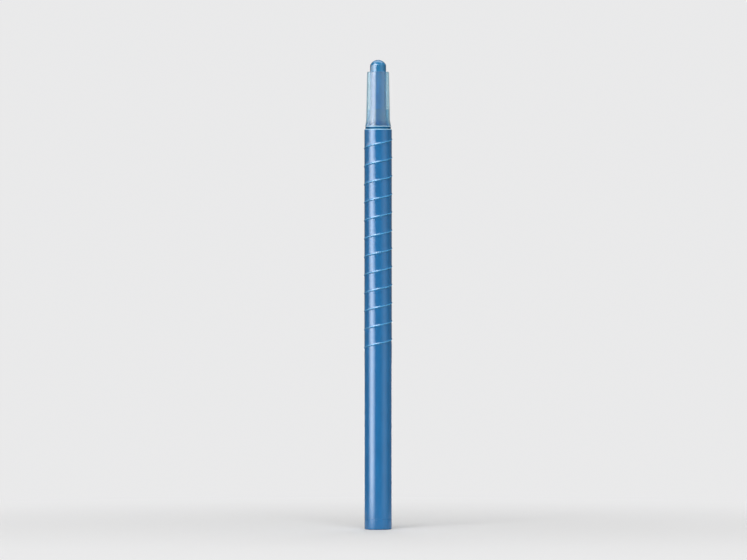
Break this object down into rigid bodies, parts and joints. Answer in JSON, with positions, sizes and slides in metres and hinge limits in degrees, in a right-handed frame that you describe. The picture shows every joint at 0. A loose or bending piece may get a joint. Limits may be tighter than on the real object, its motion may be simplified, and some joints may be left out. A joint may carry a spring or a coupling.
{
  "type": "twist crayon",
  "caption": "Twist-up crayon: turning the tapered translucent nose feeds a round wax stick out of a slim glossy barrel with a fine helical rib.",
  "frame": {"origin": "middle of the foot of the end plug, on the crayon's axis", "axes": "+Z along the crayon's axis, from the end plug to the tip; -Y is the side seen in the picture"},
  "size_m": [0.0106, 0.0106, 0.176],
  "materials": {
    "barrel": "glossy blue moulding",
    "nose": "glossy translucent moulding",
    "inner": "satin blue moulding",
    "wax": "satin blue wax"
  },
  "bodies": {
    "barrel": {"barrel": "barrel", "end_plug": "barrel"},
    "nose": {"nose_sleeve": "nose", "guide_tube": "nose"},
    "stick": {"stick_carrier": "inner", "wax_stick": "wax"}
  },
  "joints": [
    {"name": "nose_twist", "type": "hinge", "parent": "barrel", "child": "nose", "pos_m": [0, 0, 0.15085], "axis": [0, 0, 1], "range_deg": [-306.5, 3420.5]},
    {"name": "stick_feed", "type": "slide", "parent": "nose", "child": "stick", "axis": [0, 0, 1], "range_m": [-0.00578, 0.0646]}
  ],
  "couplings": [
    {"joint": "nose_twist", "follows": "stick_feed", "rad_per_m": 924}
  ]
}
